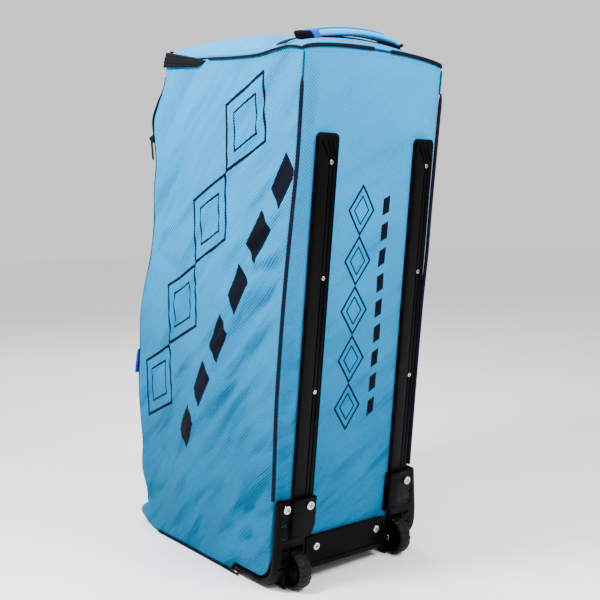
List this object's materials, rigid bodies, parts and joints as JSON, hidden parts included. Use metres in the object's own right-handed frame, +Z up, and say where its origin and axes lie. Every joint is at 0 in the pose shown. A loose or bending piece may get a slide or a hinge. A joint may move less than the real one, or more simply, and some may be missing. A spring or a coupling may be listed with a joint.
{
  "type": "wheeled duffel bag",
  "caption": "Tall wheeled duffel bag that stands on its wheel end: soft cloth body with a zipped front lid, plastic skid rails, corner wheel housings, a top grip and a front carry handle.",
  "frame": {"origin": "middle of the outline's box, on the floor the bag stands on", "axes": "+Z up, -Y towards the back panel with the rails and wheels, +X along the wheel axles"},
  "size_m": [0.3474, 0.6286, 0.9694],
  "materials": {
    "blue_fabric": "woven polyester, fine twill",
    "black_fabric": "woven tape and piping",
    "band_fabric": "webbing",
    "mesh_fabric": "padded spacer mesh",
    "black_plastic": "moulded satin",
    "tyre": "lugged rubber",
    "steel": "plated"
  },
  "bodies": {
    "bag": {"left_side_panel": "blue_fabric", "right_side_panel": "blue_fabric", "front_panel": "blue_fabric", "top_end_panel": "blue_fabric", "back_panel": "blue_fabric", "main_zip_left": "black_fabric", "main_zip_right": "black_fabric", "main_zip_top": "black_fabric", "zip_end_left": "black_fabric", "zip_end_right": "black_fabric", "zip_slider": "steel", "back_left_piping": "black_fabric", "top_left_piping": "black_fabric", "base_left_piping": "black_fabric", "back_right_piping": "black_fabric", "top_right_piping": "black_fabric", "base_right_piping": "black_fabric", "top_back_piping_left": "black_fabric", "top_back_piping_right": "black_fabric", "left_rail": "black_plastic", "left_rail_screw_1": "steel", "left_rail_screw_2": "steel", "left_rail_screw_3": "steel", "right_rail": "black_plastic", "right_rail_screw_1": "steel", "right_rail_screw_2": "steel", "right_rail_screw_3": "steel", "left_wheel_housing": "black_plastic", "left_axle": "steel", "right_wheel_housing": "black_plastic", "right_axle": "steel", "left_housing_outer_screw": "steel", "left_housing_inner_screw": "steel", "right_housing_screw": "steel", "kick_plate": "black_plastic", "left_kick_plate_screw": "steel", "right_kick_plate_screw": "steel", "top_handle_webbing": "black_fabric", "top_handle_grip": "mesh_fabric", "top_handle_left_tab": "black_fabric", "top_handle_right_tab": "black_fabric", "front_handle_band": "band_fabric", "front_handle_left_anchor": "black_fabric", "front_handle_right_anchor": "black_fabric", "bottom_end_panel": "black_fabric"},
    "left_wheel": {"left_tyre": "tyre", "left_hub": "black_plastic"},
    "right_wheel": {"right_tyre": "tyre", "right_hub": "black_plastic"},
    "zip_pull": {"zip_pull": "steel"}
  },
  "joints": [
    {"name": "left_wheel_spin", "type": "hinge", "parent": "bag", "child": "left_wheel", "pos_m": [-0.12103, -0.21397, 0.0346], "axis": [1, 0, 0], "continuous": true},
    {"name": "right_wheel_spin", "type": "hinge", "parent": "bag", "child": "right_wheel", "pos_m": [0.11697, -0.21397, 0.0346], "axis": [1, 0, 0], "continuous": true},
    {"name": "zip_pull_swing", "type": "hinge", "parent": "bag", "child": "zip_pull", "pos_m": [-0.15065, 0.16469, 0.78469], "axis": [0.7775, 0.626, -0.0603], "range_deg": [0, 120]}
  ]
}
